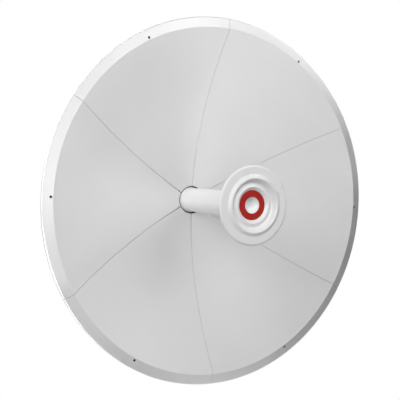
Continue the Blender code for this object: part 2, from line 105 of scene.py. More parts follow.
# Feed. BREAK is the small slope on the edge of a bore.
TUBE_R = 0.0225
TUBE_BORE_R = 0.0200
TUBE_END_D = 0.152
CONE_FOOT = 0.010
COLLAR_R = 0.0237
COLLAR_SINK = 0.001
GASKET_R = 0.0320
GASKET = 0.003
PLATE_D = 0.208
PLATE_R = 0.067
PLATE_FLAT = 0.0065
PLATE_BACK = -0.013
EDGE_ROUND = 0.0045
EDGE_HEIGHT = 0.0035
CONE_R = 0.044
RING_OUT_R = 0.0252
RING_IN_R = 0.0138
RING_SINK = 0.0012
RING_FIT = 0.0001
CUP_DEPTH = 0.009
COLLAR_FIT = 0.0001
BREAK = 0.0004

# Transducer
NECK_R = 0.0285
NECK_LENGTH = 0.018
BOX_SIDE = 0.064
BOX_DEPTH = 0.062
BOX_ROUND = 0.006
BOX_EDGE = 0.0006
PORT_X = 0.016
PORT_Z = 0.008
PORT_R = 0.0080
PORT_LENGTH = 0.019

# Tilting bracket and mast clamps
YOKE_SHEET = 0.003
YOKE_EDGE = 0.0005
YOKE_HALF = 0.053
YOKE_HALF_HEIGHT = 0.056
YOKE_END_HALF_HEIGHT = 0.050
YOKE_END_Y = -0.030
YOKE_END_CORNER = 0.016
YOKE_TAPER_Y = -0.110
YOKE_BOLT = 0.034
BEND_R = 0.005
MAST_SHEET = 0.004
MAST_EDGE = 0.0006
MAST_HALF = YOKE_HALF + SEAT + MAST_SHEET
MAST_HALF_HEIGHT = 0.070
MAST_CHEEK_HALF_HEIGHT = 0.054
MAST_CHEEK_Y = -0.076
MAST_CORNER = 0.014
MAST_SHOULDER_Y = -0.014
CROSS_DRILL = 0.1
PIVOT_Y = -0.050
PIVOT_Z = 0.036
LOCK_Z = -0.036
TILT_LIMIT = math.radians(10)
BOLT_R = 0.004
BOLT_HOLE_R = 0.0043
BOLT_HEAD = 0.0055
BOLT_TIP = 0.004
U_ROD_R = 0.004
U_HALF_WIDTH = 0.030
MAST_R = 0.025
U_LEG_END_Y = -0.024
U_Z = 0.046
U_HOLE_R = 0.0045
NUT_R = 0.0075
NUT = 0.0065
WASHER_R = 0.009
WASHER = 0.0016
NUT_CHAMFER = 0.0006
THREAD_PITCH = 0.00125

# Camera, from the photograph's perspective
CAMERA_AT = (-0.6472, -1.3744, 0.0309)
CAMERA_TURN = math.radians(29.734)
CAMERA_DOWN = math.radians(1.312)
CAMERA_ROLL = math.radians(2.720)
CAMERA_LENS_MM = 62.747
CAMERA_SENSOR_MM = 36
CAMERA_NEAR = 0.05

X, Y, Z = Vector((1, 0, 0)), Vector((0, 1, 0)), Vector((0, 0, 1))

# Closer than HAIR counts as in the same place. MERGE and ON_PLANE are the steps' tolerances.
HAIR = 0.00001
MERGE = 0.000002
ON_PLANE = 0.000001

# Studio
FLOOR_Z = -0.9
FLOOR_R = 3.0
FADE_IN_R = 0.5
FADE_OUT_R = 1.4
BACKDROP_R = 12.0
LIGHTS_AIM = Vector((0, -0.3, 0))
FEED_LIGHTS_AWAY = 2.8
BOWL_LIGHTS_AWAY = 3.0
REFLECTORS_AWAY = 3.2
LIGHT_SIZE = 1.8
AIR_LIGHT = 0.06
FEED_PIECES = (
    "splash_plate_disc", "red_ring_disc", "feed_cone_flare", "feed_tube_body", "feed_collar_ring"
)
PETAL_PIECES = tuple(f"petal_{number}_sheet" for number in range(1, PETALS + 1))

# Lights: name, degrees to the right of the dish's axis, degrees up, watts.
# Reflectors light nothing by themselves and only show in the gloss.
FEED_LIGHTS = (
    ("left", -50, 5, 21),
    ("front", -25, 5, 12.5),
    ("high_left", -40, 35, 29),
    ("high", 20, 35, 17.5),
    ("high_right", 50, 35, 15.5),
)
BOWL_LIGHTS = (
    ("left", -57, 25, 19),
    ("front", -25, 5, 22.5),
    ("middle", 13, 25, 17),
    ("right", 45, 35, 10),
    ("low_right", 60, -28, 26),
    ("floor_right", 45, -55, 35),
)
REFLECTORS = (
    ("front", 0, 5, 21),
    ("right", 50, 5, 2.3),
    ("high", 20, 35, 19),
    ("high_right", 80, 35, 38),
    ("low_right", 60, -28, 2),
    ("floor_right", 45, -55, 28),
)
PETAL_REFLECTORS = (
    ("low_left", -60, -28, 165),
    ("far_left", -105, 10, 60),
    ("far_high_left", -100, 55, 60),
)
REAR_LIGHTS = (("left", -140, 30, 36), ("right", 155, 25, 38))


# Modelling steps

def deselect_all():
    if bpy.context.mode != "OBJECT":
        bpy.ops.object.mode_set(mode="OBJECT")
    bpy.ops.object.select_all(action="DESELECT")


def only(piece):
    """This piece alone is selected and active, in object mode."""
    deselect_all()
    piece.select_set(True)
    bpy.context.view_layer.objects.active = piece


def pick(piece, kind, wanted):
    """Edit mode on a piece, with the vertices, edges or faces selected that are wanted."""
    only(piece)
    bpy.ops.object.mode_set(mode="EDIT")
    bpy.ops.mesh.select_mode(type=kind)
    bpy.ops.mesh.select_all(action="DESELECT")
    bpy.ops.object.mode_set(mode="OBJECT")
    mesh = piece.data
    items = {"VERT": mesh.vertices, "EDGE": mesh.edges, "FACE": mesh.polygons}[kind]
    for item in items:
        item.select = wanted(item)
    bpy.ops.object.mode_set(mode="EDIT")


def pick_all(piece):
    """Edit mode on a piece, with all of it selected."""
    only(piece)
    bpy.ops.object.mode_set(mode="EDIT")
    bpy.ops.mesh.select_mode(type="VERT")
    bpy.ops.mesh.select_all(action="SELECT")


def modified(piece, kind, **settings):
    """Puts one modifier on a piece and applies it."""
    only(piece)
    modifier = piece.modifiers.new("step", kind)
    for name, value in settings.items():
        setattr(modifier, name, value)
    bpy.ops.object.modifier_apply(modifier=modifier.name)


def bevelled(piece, width, segments=2, degrees=40):
    """Rounds the edges that are sharper than this angle."""
    limit = {"limit_method": "ANGLE", "angle_limit": math.radians(degrees)}
    modified(piece, "BEVEL", width=width, segments=segments, **limit)


def thickened(piece, thickness):
    """Gives a sheet its thickness, behind the side that its faces look to."""
    modified(piece, "SOLIDIFY", thickness=thickness, offset=-1, use_even_offset=True)


def cut(piece, cutter, operation="DIFFERENCE"):
    """Cuts one piece with another, which is used up."""
    modified(piece, "BOOLEAN", object=cutter, operation=operation, solver="EXACT")
    bpy.data.objects.remove(cutter)


def trace(name, points):
    """A line of edges: one vertex, extruded from point to point."""
    deselect_all()
    bpy.ops.mesh.primitive_plane_add(size=0.001)
    piece = bpy.context.object
    piece.name = name
    bpy.ops.object.mode_set(mode="EDIT")
    bpy.ops.mesh.select_mode(type="VERT")
    bpy.ops.mesh.select_all(action="SELECT")
    bpy.ops.mesh.merge(type="CENTER")
    bpy.ops.transform.translate(value=points[0])
    for start, end in zip(points, points[1:]):
        step = Vector(end) - Vector(start)
        bpy.ops.mesh.extrude_vertices_move(TRANSFORM_OT_translate={"value": step})
    return piece


def close_up(piece):
    """Merges the doubles and turns all faces outwards."""
    pick_all(piece)
    bpy.ops.mesh.remove_doubles(threshold=MERGE)
    bpy.ops.mesh.normals_make_consistent(inside=False)
    bpy.ops.object.mode_set(mode="OBJECT")
    return piece


def softened(points, steps=4):
    """The line through (radius, y) points, with a curve in each corner that has a third value:
    how far from the corner the curve starts."""
    line = []
    for index, (radius, y, *size) in enumerate(points):
        corner = Vector((radius, y))
        if not size:
            line.append(corner)
            continue
        ends = []
        for other in (points[index - 1], points[index + 1]):
            arm = Vector(other[:2]) - corner
            ends.append(corner + arm.normalized() * min(size[0], arm.length * 0.45))
        for share in evenly(0, 1, steps):
            middle = 2 * share * (1 - share)
            line.append(ends[0] * (1 - share) ** 2 + corner * middle + ends[1] * share**2)
    return line


def evenly(first, last, steps):
    """Values from first to last in equal steps, both ends included."""
    return [first + (last - first) * step / steps for step in range(steps + 1)]


def lathe(name, profile, steps=96):
    """A line of (radius, y) points spun round the dish's axis."""
    piece = trace(name, [(0, y, radius) for radius, y in softened(profile)])
    bpy.ops.mesh.select_all(action="SELECT")
    bpy.ops.mesh.spin(steps=steps, angle=math.tau, center=(0, 0, 0), axis=(0, 1, 0))
    return close_up(piece)


def settled(name):
    """The piece just added, with its name, and with its place in its mesh."""
    piece = bpy.context.object
    piece.name = name
    bpy.ops.object.transform_apply(location=True, rotation=True, scale=True)
    return piece


def cylinder(name, radius, start, end, sides=24):
    """A cylinder between two points."""
    deselect_all()
    along = Vector(end) - Vector(start)
    bpy.ops.mesh.primitive_cylinder_add(
        vertices=sides,
        radius=radius,
        depth=along.length,
        location=(Vector(start) + Vector(end)) / 2,
        rotation=along.to_track_quat("Z", "Y").to_euler(),
    )
    return settled(name)


def drill(name, radius, middle, reach, sides=24):
    """A cutter through a wall, as far to both sides of a point as reach says."""
    return cylinder(name, radius, middle - reach, middle + reach, sides)


def block(name, low, high):
    """A box between two corners."""
    deselect_all()
    low, high = Vector(low), Vector(high)
    bpy.ops.mesh.primitive_cube_add(size=1, location=(low + high) / 2)
    bpy.context.object.scale = high - low
    return settled(name)


def moved(piece, place):
    """The piece moved by a matrix, with its place in its mesh."""
    only(piece)
    piece.matrix_world = place
    bpy.ops.object.transform_apply(location=True, rotation=True, scale=True)
    return piece


def copy(piece, name, place):
    """A copy with its own mesh, moved by a matrix."""
    only(piece)
    bpy.ops.object.duplicate(linked=False)
    made = bpy.context.object
    made.name = name
    return moved(made, place)


def joined(pieces, name):
    """Several pieces as one, named after the real piece that they make up."""
    deselect_all()
    for piece in pieces:
        piece.select_set(True)
    bpy.context.view_layer.objects.active = pieces[0]
    bpy.ops.object.join()
    bpy.context.object.name = name
    return bpy.context.object


def round_axis(angle):
    """The turn about the dish's axis that takes +Z clockwise, seen from the front."""
    return Matrix.Rotation(angle, 4, "Y")


def smoothed(piece, degrees=32):
    """Smooth shading between sharp edges, with the large faces kept flat."""
    only(piece)
    bpy.ops.object.shade_smooth_by_angle(angle=math.radians(degrees))
    modified(piece, "WEIGHTED_NORMAL", keep_sharp=True)


def dressed(piece, material, slot, *nodes):
    """The finished piece: smooth shaded, with its finish, in place of the part's nodes."""
    smoothed(piece)
    if not piece.data.materials:
        piece.data.materials.append(material)
    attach(piece, "root")
    if nodes:
        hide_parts(*nodes)
    return piece


# Finishes

class Wire:
    """A socket of a material's nodes, for sums as Python writes them."""

    def __init__(self, tree, socket):
        self.tree = tree
        self.socket = socket

    def node(self, kind, inputs=None, output=0, **settings):
        """Any other node: its settings, then the values or wires of its sockets."""
        made = self.tree.nodes.new(kind)
        for name, value in settings.items():
            setattr(made, name, value)
        for name, value in (inputs or {}).items():
            if isinstance(value, Wire):
                self.tree.links.new(value.socket, made.inputs[name])
            else:
                made.inputs[name].default_value = value
        return Wire(self.tree, made.outputs[output])

    def maths(self, operation, first, second=0.0):
        return self.node("ShaderNodeMath", {0: first, 1: second}, operation=operation)

    def __add__(self, other):
        return self.maths("ADD", self, other)

    def __sub__(self, other):
        return self.maths("SUBTRACT", self, other)

    def __rsub__(self, other):
        return self.maths("SUBTRACT", other, self)

    def __mul__(self, other):
        return self.maths("MULTIPLY", self, other)

    __radd__ = __add__
    __rmul__ = __mul__

    def mixed(self, first, second):
        """A colour from first to second, by this wire as the share."""
        return self.node(
            "ShaderNodeMix", {0: self, 6: first, 7: second}, output=2, data_type="RGBA"
        )

    def between(self, low, high, to_low=0.0, to_high=1.0):
        """This wire's share of the way from low to high, or the value that far between two."""
        values = {"Value": self, "From Min": low, "From Max": high}
        values |= {"To Min": to_low, "To Max": to_high}
        return self.node("ShaderNodeMapRange", values)


def new_material(name, **constants):
    """A material with its shader's fixed values set, its object coordinates and its shader."""
    material = bpy.data.materials.new(name)
    material.use_nodes = True
    tree = material.node_tree
    shader = tree.nodes["Principled BSDF"]
    for key, value in constants.items():
        shader.inputs[key.replace("_", " ")].default_value = value
    place = tree.nodes.new("ShaderNodeTexCoord")
    return material, shader, Wire(tree, place.outputs["Object"])


def feed_shader(shader, **wires):
    """Links wires to the shader's sockets of these names."""
    for name, wire in wires.items():
        wire.tree.links.new(wire.socket, shader.inputs[name.replace("_", " ")])


def noise(place, scale, detail=3.0):
    return place.node("ShaderNodeTexNoise", {"Vector": place, "Scale": scale, "Detail": detail})


def bump(height, strength, distance):
    values = {"Strength": strength, "Distance": distance, "Height": height}
    return height.node("ShaderNodeBump", values)


def painted(name, colour, rough, patchy, pebble, **constants):
    """Powder coat: slight cloudiness, a fine orange peel and specks of dust."""
    material, shader, place = new_material(name, **constants)
    clouds = noise(place, scale=14.0, detail=4.0).between(0.3, 0.7)
    specks = noise(place, scale=900.0, detail=2.0).between(0.68, 0.78)
    peel = noise(place, scale=520.0, detail=2.0)
    dark = tuple(part * (1 - patchy) for part in colour)
    light = tuple(min(part * (1 + patchy), 1.0) for part in colour)
    dust = tuple(part * 0.8 for part in colour)
    tone = clouds.mixed((*dark, 1), (*light, 1))
    tone = (specks * 0.35).mixed(tone, (*dust, 1))
    feed_shader(
        shader,
        Base_Color=tone,
        Roughness=clouds.between(0, 1, rough - 0.03, rough + 0.03) + specks * 0.1,
        Normal=bump(peel, strength=pebble, distance=0.0002),
    )
    return material


def moulded(name, colour, rough, grain, **constants):
    """Moulded plastic: even colour, faint flow marks and a fine spark-eroded grain."""
    material, shader, place = new_material(name, **constants)
    flow = noise(place, scale=30.0, detail=2.0).between(0.3, 0.7)
    texture = noise(place, scale=1600.0, detail=1.0)
    low = tuple(part * 0.975 for part in colour)
    feed_shader(
        shader,
        Base_Color=flow.mixed((*low, 1), (*colour, 1)),
        Roughness=flow.between(0, 1, rough - 0.04, rough + 0.04),
        Normal=bump(texture, strength=grain, distance=0.0001),
    )
    return material


def galvanised_steel():
    """Hot-dip zinc: crystal facets of slightly different tone and gloss."""
    material, shader, place = new_material("galvanised_steel", Metallic=1.0)
    values = {"Vector": place, "Scale": 150.0, "Randomness": 1.0}
    facets = place.node("ShaderNodeTexVoronoi", values, output="Color")
    facet = facets.node("ShaderNodeSeparateColor", {"Color": facets})
    stain = noise(place, scale=18.0, detail=4.0).between(0.45, 0.75)
    grit = noise(place, scale=260.0, detail=3.0)
    tone = facet.mixed((0.52, 0.54, 0.56, 1), (0.66, 0.67, 0.69, 1))
    feed_shader(
        shader,
        Base_Color=(stain * 0.4).mixed(tone, (0.60, 0.61, 0.60, 1)),
        Roughness=facet.between(0, 1, 0.38, 0.52) + stain * 0.12,
        Normal=bump(grit, strength=0.25, distance=0.0002),
    )
    return material


def zinc_bolt():
    """Bright zinc plating with fine tool marks and duller, darker patches."""
    material, shader, place = new_material("zinc_bolt", Metallic=1.0)
    marks = noise(place, scale=700.0, detail=3.0)
    dull = noise(place, scale=60.0, detail=3.0).between(0.4, 0.7)
    feed_shader(
        shader,
        Base_Color=dull.mixed((0.66, 0.66, 0.65, 1), (0.55, 0.55, 0.53, 1)),
        Roughness=dull.between(0, 1, 0.26, 0.42),
        Normal=bump(marks, strength=0.15, distance=0.0001),
    )
    return material


def nickel_brass():
    """Nickel-plated brass, slightly tarnished, with fine tool marks."""
    material, shader, place = new_material("nickel_brass", Metallic=1.0)
    tarnish = noise(place, scale=120.0, detail=3.0).between(0.4, 0.7)
    marks = noise(place, scale=900.0, detail=2.0)
    feed_shader(
        shader,
        Base_Color=tarnish.mixed((0.74, 0.72, 0.66, 1), (0.66, 0.60, 0.48, 1)),
        Roughness=tarnish.between(0, 1, 0.22, 0.36),
        Normal=bump(marks, strength=0.1, distance=0.0001),
    )
    return material


# Reflector

def bowl_y(radius):
    """The front surface of the bowl, a paraboloid."""
    return VERTEX_Y - radius**2 / (4 * FOCAL)


def bowl_back(radius, distance):
    """The point this far behind the front surface, square to it."""
    slope = radius / (2 * FOCAL)
    scale = distance / math.hypot(slope, 1)
    return radius + slope * scale, bowl_y(radius) + scale


def band_y(radius):
    """The front of the band, which falls back from the crest to the hem."""
    share = (radius - CREST_R) / (RIM_R - HEM_ROUND - CREST_R)
    return bowl_y(CREST_R) + CREST_RISE * share


def petal_line():
    """The front of a petal from the hub hole to the edge of its hem."""
    bowl = [(radius, bowl_y(radius)) for radius in evenly(HUB_HOLE_R, CREST_R, 24)[:-1]]
    edge_y = band_y(RIM_R)
    return [
        *bowl,
        (CREST_R, bowl_y(CREST_R), CREST_ROUND),
        (FLANGE_OUT_R, band_y(FLANGE_OUT_R)),
        (RIM_R, edge_y, HEM_ROUND),
        (RIM_R, edge_y + HEM_DEPTH),
    ]


def seam_offset(point, angle):
    """How far a point lies from the plane through the dish's axis at this angle."""
    return point.x * math.cos(angle) - point.z * math.sin(angle)


def petal(name, opening=0):
    """A sector of the bowl with its band and hem, and a flange along each seam.

    Inside the flanges its second seam opens towards the hub, by this much a metre.
    """
    piece = trace(name, [(0, y, radius) for radius, y in softened(petal_line())])
    bpy.ops.mesh.select_all(action="SELECT")
    bpy.ops.mesh.spin(steps=36, angle=-PETAL_ANGLE, center=(0, 0, 0), axis=(0, 1, 0))
    close_up(piece)
    for angle, way, lean in ((0, 1, 0), (PETAL_ANGLE, -1, 0), (PETAL_ANGLE, -1, opening)):
        along = Vector((math.sin(angle), 0, math.cos(angle)))
        inward = Vector((math.cos(angle), 0, -math.sin(angle))) * way
        pick_all(piece)
        bpy.ops.mesh.bisect(
            plane_co=inward * SEAM_GAP / 2 + along * FLANGE_IN_R,
            plane_no=inward + along * lean,
            clear_inner=True,
            threshold=ON_PLANE,
        )
    bpy.ops.object.mode_set(mode="OBJECT")
    if piece.data.polygons[0].normal.y > 0:
        pick_all(piece)
        bpy.ops.mesh.flip_normals()
    for angle, way in ((0, 1), (PETAL_ANGLE, -1)):
        fold_flange(piece, angle, way)
    thickened(piece, SHEET)
    middle = round_axis(PETAL_ANGLE / 2) @ Vector((0, bowl_y(CREST_R), RIM_HOLE_PITCH_R))
    cut(piece, drill("rim_hole", RIM_HOLE_R, middle, Y * DRILL))
    bevelled(piece, FOLD)
    return piece


def fold_flange(piece, angle, way):
    """Folds the sheet back along a seam. The flange is shallow on the band, inside the hem."""
    mesh = piece.data

    def on_seam(vertex):
        radius = math.hypot(vertex.co.x, vertex.co.z)
        aside = abs(seam_offset(vertex.co, angle) - way * SEAM_GAP / 2)
        return aside < HAIR and FLANGE_IN_R < radius < FLANGE_OUT_R + 10 * HAIR

    def wanted(edge):
        return all(on_seam(mesh.vertices[index]) for index in edge.vertices)

    pick(piece, "EDGE", wanted)
    push = {"value": Y * FLANGE_DEPTH}
    bpy.ops.mesh.extrude_edges_move(TRANSFORM_OT_translate=push)
    bpy.ops.object.mode_set(mode="OBJECT")

    def band_tip(vertex):
        radius = math.hypot(vertex.co.x, vertex.co.z)
        back = vertex.co.y > band_y(radius) + FLANGE_DEPTH / 2
        return on_seam(vertex) and radius > FLANGE_OUT_R - 0.001 and back

    pick(piece, "VERT", band_tip)
    bpy.ops.transform.translate(value=-Y * FLANGE_TIP_LIFT)
    bpy.ops.object.mode_set(mode="OBJECT")


def band_front(face):
    """True for the faces of the flat band, in front, and of the hem's outside."""
    radius = math.hypot(face.center.x, face.center.z)
    front = face.center.y < band_y(radius) + SHEET / 2 and face.normal.y < -0.5
    outward = (face.normal.x * face.center.x + face.normal.z * face.center.z) / radius
    hem = radius > RIM_R - HEM_ROUND and outward > 0.5
    return hem or (front and radius > CREST_R + 0.0002)


def reflector(coat, band_coat):
    """Six petals. The top seam stays closed and the others open a little at the hub."""
    pressed = [petal("petal_1", SEAM_OPENING), petal("petal_6")]
    for piece in pressed:
        piece.data.materials.append(coat)
        piece.data.materials.append(band_coat)
        pick(piece, "FACE", band_front)
        piece.active_material_index = 1
        bpy.ops.object.material_slot_assign()
        bpy.ops.object.mode_set(mode="OBJECT")
    first, closing = pressed
    petals = [first]
    for number in range(2, PETALS):
        turn = round_axis(PETAL_ANGLE * (number - 1))
        petals.append(copy(first, f"petal_{number}", turn))
    petals.append(moved(closing, round_axis(-PETAL_ANGLE)))
    for number, piece in enumerate(petals, start=1):
        dressed(piece, coat, "powder_coat", f"petal_{number}")
        piece.name = f"petal_{number}_sheet"


def rim_nuts(rubber):
    """The blind nut behind each rim hole, which closes it."""
    bore_r, body_r, flange_r = 0.0020, 0.0036, 0.0052
    start = band_y(RIM_HOLE_PITCH_R) + SHEET
    flange_end, bore_end, end = start + 0.0012, start + 0.0048, start + 0.0065
    profile = [
        (0.0, end),
        (body_r, end, 0.0004),
        (body_r, flange_end, 0.0003),
        (flange_r, flange_end, 0.0003),
        (flange_r, start, 0.0002),
        (bore_r, start, 0.0002),
        (bore_r, bore_end),
        (0.0, bore_end),
    ]
    nut = lathe("rim_nut", profile, 24)
    for number in range(PETALS):
        turn = round_axis(PETAL_ANGLE * (number + 0.5))
        place = turn @ Matrix.Translation(Z * RIM_HOLE_PITCH_R)
        dressed(copy(nut, f"rim_nut_{number + 1}", place), rubber, "rubber")
    bpy.data.objects.remove(nut)


# Bolts

def threaded(radius, start, end, pitch):
    """The ridges of a thread, as points from start to end along Y."""
    way = 1 if end > start else -1
    points = []
    for number in range(int(abs(end - start) / pitch)):
        y = start + way * number * pitch
        points += [(radius, y), (radius - pitch * 0.5, y + way * pitch / 2)]
    return points


def hex_prism(name, radius, low, high, chamfer=0.0005):
    """A hexagon along Y, to its corners' radius, with the corners turned off at both ends."""
    piece = cylinder(name, radius, Y * low, Y * high, 6)
    flat, outside, slope = radius * 0.93, radius * 1.02, chamfer * 1.4
    profile = [
        (0, low),
        (flat, low),
        (outside, low + slope),
        (outside, high - slope),
        (flat, high),
        (0, high),
    ]
    cut(piece, lathe("chamfer", profile, 48), "INTERSECT")
    return piece


def washer_ring(inner_r, outer_r, end):
    """A washer from Y 0 to end."""
    profile = [
        (inner_r, 0.0),
        (outer_r, 0.0, 0.0003),
        (outer_r, end, 0.0004),
        (inner_r, end),
        (inner_r, 0.0),
    ]
    return lathe("washer", profile, 48)


def bolt_head(name, radius, height, washer_r, washer, shank_r):
    """A hex head on its washer. The washer's back is at Y 0 and the head looks to +Y."""
    dip = 0.0003
    head = hex_prism(name, radius, washer, washer + height)
    pick(head, "FACE", lambda face: face.normal.y > 0.9)
    bpy.ops.mesh.inset(thickness=radius * 0.28)
    bpy.ops.transform.translate(value=-Y * dip)
    return joined([head, washer_ring(shank_r, washer_r, washer)], name)


def shank(name, radius, start, end, thread_from, pitch=THREAD_PITCH):
    """A bolt's shank along Y, with a thread from thread_from to its chamfered end."""
    way = 1 if end > start else -1
    profile = [
        (0, start),
        (radius, start),
        (radius, thread_from),
        *threaded(radius, thread_from, end - way * pitch, pitch),
        (radius * 0.85, end),
        (0, end),
    ]
    return lathe(name, profile, 32)


def seam_bolts(steel):
    """Small bolts through each pair of flanges, along every seam."""
    hex_r, shank_r, nut, tip, pitch = 0.0042, 0.002, 0.0032, 0.0023, 0.0007
    head = bolt_head(
        "seam_bolt", hex_r, height=0.0026, washer_r=0.0048, washer=0.0008, shank_r=shank_r
    )
    parts = [
        moved(head, Matrix.Translation(Y * SHEET)),
        hex_prism("nut", hex_r, -SHEET - nut, -SHEET, NUT_CHAMFER),
        shank("shank", shank_r, 0.0, -SHEET - nut - tip, -SHEET - 0.0008, pitch),
    ]
    bolt = joined(parts, "seam_bolt")
    for seam in range(PETALS):
        turn = round_axis(PETAL_ANGLE * seam)
        across = turn @ Matrix.Rotation(math.radians(-90), 4, "Z")
        placed = []
        for radius in SEAM_BOLT_RADII:
            at = turn @ Vector((0, bowl_y(radius) + SEAM_BOLT_DEPTH, radius))
            placed.append(copy(bolt, "seam_bolt", Matrix.Translation(at) @ across))
        dressed(joined(placed, f"seam_bolts_{seam + 1}"), steel, "bolt_steel")
    bpy.data.objects.remove(bolt)


# Hub

def hub_casting(cast):
    """The dished disc behind the petals, with its boss, lip and six ribs."""
    gasket_seat_y = bowl_back(HUB_HOLE_R, SKIN + SEAT)[1] + GASKET + SEAT
    radii = evenly(GASKET_R + SEAT, HUB_R, 12)
    front = [bowl_back(radius, SKIN + SEAT) for radius in radii]
    edge_r, edge_y = front[-1]
    web_out = bowl_back(HUB_LIP_R, SKIN + SEAT + HUB_WEB)
    web_in = bowl_back(HUB_BOSS_R, SKIN + SEAT + HUB_WEB)
    profile = [
        (TUBE_R + SEAT, HUB_BACK_Y),
        (TUBE_R + SEAT, gasket_seat_y),
        (GASKET_R + SEAT, gasket_seat_y),
        *front,
        (edge_r, edge_y + HUB_LIP, 0.0012),
        (HUB_LIP_R, edge_y + HUB_LIP, 0.0012),
        (HUB_LIP_R, web_out[1], 0.003),
        (HUB_BOSS_R, web_in[1], 0.004),
        (HUB_BOSS_R, HUB_BACK_Y, 0.0015),
        (TUBE_R + SEAT, HUB_BACK_Y),
    ]
    disc = lathe("hub_casting_body", profile, 120)
    for seam in range(PETALS):
        cut(disc, drain_groove(round_axis(PETAL_ANGLE * seam)))
    rib = hub_rib(web_in[1], web_out[1], edge_y + HUB_LIP)
    ribs = [copy(rib, "rib", round_axis(PETAL_ANGLE * (number + 0.5))) for number in range(PETALS)]
    bpy.data.objects.remove(rib)
    dressed(joined([disc, *ribs], "hub_casting_body"), cast, "hub_cast", "hub_casting")


def drain_groove(turn):
    """The cutter of a groove in the hub's front, behind a seam. It follows the bowl's slope."""
    groove = block(
        "drain_groove",
        (-HUB_GROOVE / 2, -HUB_GROOVE_DEPTH, GASKET_R + SEAT - OVERLAP),
        (HUB_GROOVE / 2, HUB_GROOVE_DEPTH, HUB_GROOVE_END),
    )
    pick(groove, "VERT", lambda vertex: vertex.co.z > HUB_LIP_R)
    bpy.ops.transform.translate(value=Y * (bowl_y(HUB_GROOVE_END) - bowl_y(GASKET_R)))
    return moved(groove, turn @ Matrix.Translation(Y * bowl_back(GASKET_R, SKIN + SEAT)[1]))


def hub_rib(web_in_y, web_out_y, lip_y):
    """A rib from the boss to the lip. Its back slopes to the lip and its front to the web."""
    rib = block(
        "rib",
        (-HUB_RIB / 2, web_in_y - 2 * OVERLAP, HUB_BOSS_R - 2 * OVERLAP),
        (HUB_RIB / 2, HUB_BACK_Y - OVERLAP, HUB_LIP_R + 2 * OVERLAP),
    )
    pick(rib, "VERT", lambda vertex: vertex.co.z > HUB_LIP_R and vertex.co.y > web_in_y)
    bpy.ops.transform.translate(value=Y * (lip_y - HUB_BACK_Y))
    pick(rib, "VERT", lambda vertex: vertex.co.z > HUB_LIP_R and vertex.co.y < web_in_y)
    bpy.ops.transform.translate(value=Y * (web_out_y - web_in_y))
    bevelled(rib, HUB_RIB_ROUND, segments=3, degrees=35)
    return rib


def hub_screws(steel):
    """Two screws a petal, from the web into the petals."""
    y = bowl_back(HUB_SCREW_R, SKIN + SEAT + HUB_WEB)[1]
    screw = bolt_head(
        "hub_screw", 0.0046, height=0.0032, washer_r=0.0056, washer=0.001, shank_r=0.0024
    )
    lean = Matrix.Rotation(-math.atan(HUB_SCREW_R / (2 * FOCAL)), 4, "X")
    placed = []
    for number in range(PETALS):
        for way in (-1, 1):
            turn = round_axis(PETAL_ANGLE * (number + 0.5) + way * HUB_SCREW_TURN)
            place = turn @ Matrix.Translation((0, y - SCREW_SINK, HUB_SCREW_R)) @ lean
            placed.append(copy(screw, "hub_screw", place))
    bpy.data.objects.remove(screw)
    dressed(joined(placed, "hub_screws"), steel, "bolt_steel")


# Feed

def on_feed(points):
    """Points of (radius, height over the ring's plane) as (radius, y)."""
    return [(radius, VERTEX_Y - PLATE_D - height, *size) for radius, height, *size in points]


def eased(start, end, steps):
    """Points from start to end on a half wave, level at both ends; start is left out."""
    points = []
    for share in evenly(0, 1, steps)[1:]:
        height = (1 - math.cos(math.pi * share)) / 2
        radius = start[0] + (end[0] - start[0]) * share
        points.append((radius, start[1] + (end[1] - start[1]) * height))
    return points


def splash_plate(plastic):
    """The round plate with its cup, its two ridges and its flat, round-edged rim."""
    inner_crest = (0.0303, 0.0040)
    valley = (0.0370, 0.0012)
    outer_crest = (0.0450, 0.0100)
    flat_in = (0.0525, PLATE_FLAT)
    back = [
        (PLATE_R - 0.002, 0.0005, 0.001),
        (0.0520, -0.0015, 0.002),
        (CONE_R + 0.001, PLATE_BACK, 0.001),
        (0.0, PLATE_BACK),
    ]
    cup = [
        (RING_IN_R * math.sin(angle), -CUP_DEPTH * math.cos(angle))
        for angle in evenly(0, math.pi / 2, 12)
    ]
    points = [*cup, (RING_IN_R, -RING_SINK, 0.0002)]
    points += [(RING_OUT_R, -RING_SINK, 0.0002), (RING_OUT_R, 0.0, 0.0004)]
    points += eased((RING_OUT_R, 0.0), inner_crest, 6)
    points += eased(inner_crest, valley, 8)
    points += eased(valley, outer_crest, 12)
    points += eased(outer_crest, flat_in, 8)
    for angle in evenly(math.pi / 2, 0, 8):
        radius = PLATE_R - EDGE_ROUND + EDGE_ROUND * math.cos(angle)
        points.append((radius, EDGE_HEIGHT + (PLATE_FLAT - EDGE_HEIGHT) * math.sin(angle)))
    plate = lathe("splash_plate_disc", on_feed(points + back), 128)
    dressed(plate, plastic, "feed_plastic", "splash_plate")


def red_ring(red):
    """The flat ring, a little sunk in the plate."""
    inner_r, outer_r, back = RING_IN_R + RING_FIT, RING_OUT_R - RING_FIT, RING_FIT - RING_SINK
    points = [
        (inner_r, back),
        (inner_r, -RING_FIT, 0.0002),
        (outer_r, -RING_FIT, 0.0002),
        (outer_r, back),
        (inner_r, back),
    ]
    dressed(lathe("red_ring_disc", on_feed(points), 128), red, "red_plastic", "red_ring")


